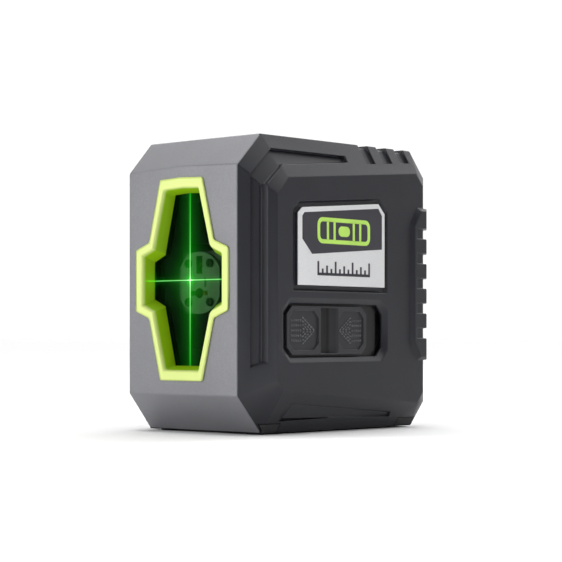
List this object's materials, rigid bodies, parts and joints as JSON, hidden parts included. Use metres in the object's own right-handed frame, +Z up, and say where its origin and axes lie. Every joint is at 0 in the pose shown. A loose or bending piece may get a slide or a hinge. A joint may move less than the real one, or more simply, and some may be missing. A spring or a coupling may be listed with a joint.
{
  "type": "cross-line laser level",
  "caption": "Compact cross-line laser level: faceted casing, flared front window, self-levelling pendulum in a gimbal, side slide switch that also locks it, rear battery door, tripod thread.",
  "frame": {"origin": "on the table under the middle of the casing, with the level standing on its feet", "axes": "+Z up, -Y is the way the laser window faces, +X is the side with the slide switch and the label"},
  "size_m": [0.0612, 0.0826, 0.085],
  "materials": {
    "silver_paint": "fine metallic satin paint",
    "dark_plastic": "moulded, fine spark texture",
    "lime_plastic": "satin moulded",
    "tinted_glass": "polished, green tint",
    "black_rubber": "soft, matt",
    "label_print": "printed, satin laminate",
    "switch_plastic": "moulded, satin",
    "inner_plastic": "moulded",
    "die_cast": "die cast",
    "plated_weight": "machined, nickel plated",
    "bright_steel": "ground",
    "black_screws": "black oxide",
    "brass": "turned",
    "copper": "turned copper",
    "nickel_magnet": "nickel plated",
    "lens_glass": "polished",
    "circuit_board": "solder resist",
    "board_parts": "moulded",
    "cell_wrap": "printed sleeve"
  },
  "bodies": {
    "root": {"front_cover": "silver_paint", "window_bezel": "lime_plastic", "window_glass": "tinted_glass", "window_gasket": "black_rubber", "housing_right": "dark_plastic", "housing_left": "dark_plastic", "label_plate": "label_print", "corner_feet": "black_rubber", "switch_retainer": "inner_plastic", "retainer_screws": "black_screws", "switch_board": "circuit_board", "power_switch": "board_parts", "chassis_frame": "die_cast", "front_cover_screws": "black_screws", "chassis_screws": "black_screws", "pitch_bearings": "bright_steel", "magnet_yoke": "bright_steel", "damping_magnets": "nickel_magnet", "battery_tray": "inner_plastic", "battery_cells": "cell_wrap", "battery_contacts": "bright_steel", "battery_springs": "bright_steel", "door_hinge_pin": "bright_steel", "driver_board": "circuit_board", "board_standoffs": "brass", "board_screws": "black_screws", "board_components": "board_parts", "case_screws": "black_screws", "tripod_insert": "brass"},
    "slider": {"slide_switch": "switch_plastic"},
    "switch_knob": {"power_switch_knob": "board_parts"},
    "lock": {"lock_lever": "bright_steel", "lock_pad": "black_rubber"},
    "gimbal": {"gimbal_cross": "die_cast", "roll_bearings": "bright_steel"},
    "pendulum": {"pendulum_weight": "plated_weight", "roll_shaft": "bright_steel", "pendulum_front_plate": "plated_weight", "front_plate_screws": "black_screws", "trim_screws": "black_screws", "damping_disc": "copper", "level_line_module": "brass", "level_line_lens": "lens_glass", "upright_line_module": "brass", "upright_line_lens": "lens_glass"},
    "door": {"battery_door": "dark_plastic"}
  },
  "joints": [
    {"name": "pitch", "type": "hinge", "parent": "root", "child": "gimbal", "pos_m": [0, -0.0085, 0.066], "axis": [1, 0, 0], "range_deg": [-3, 3]},
    {"name": "roll", "type": "hinge", "parent": "gimbal", "child": "pendulum", "pos_m": [0, -0.0085, 0.066], "axis": [0, 1, 0], "range_deg": [-3, 3]},
    {"name": "switch_slide", "type": "slide", "parent": "root", "child": "slider", "axis": [0, 1, 0], "range_m": [0, 0.0075]},
    {"name": "knob_slide", "type": "slide", "parent": "root", "child": "switch_knob", "axis": [0, 1, 0], "range_m": [0, 0.0075]},
    {"name": "lock_turn", "type": "hinge", "parent": "root", "child": "lock", "pos_m": [0, 0.0053, 0.014], "axis": [-1, 0, 0], "range_deg": [0, 26]},
    {"name": "door_hinge", "type": "hinge", "parent": "root", "child": "door", "pos_m": [0, 0.0389, 0.0124], "axis": [-1, 0, 0], "range_deg": [0, 90]}
  ],
  "couplings": [
    {"joint": "knob_slide", "follows": "switch_slide", "ratio": 1},
    {"joint": "lock_turn", "follows": "switch_slide", "rad_per_m": 60.08}
  ]
}
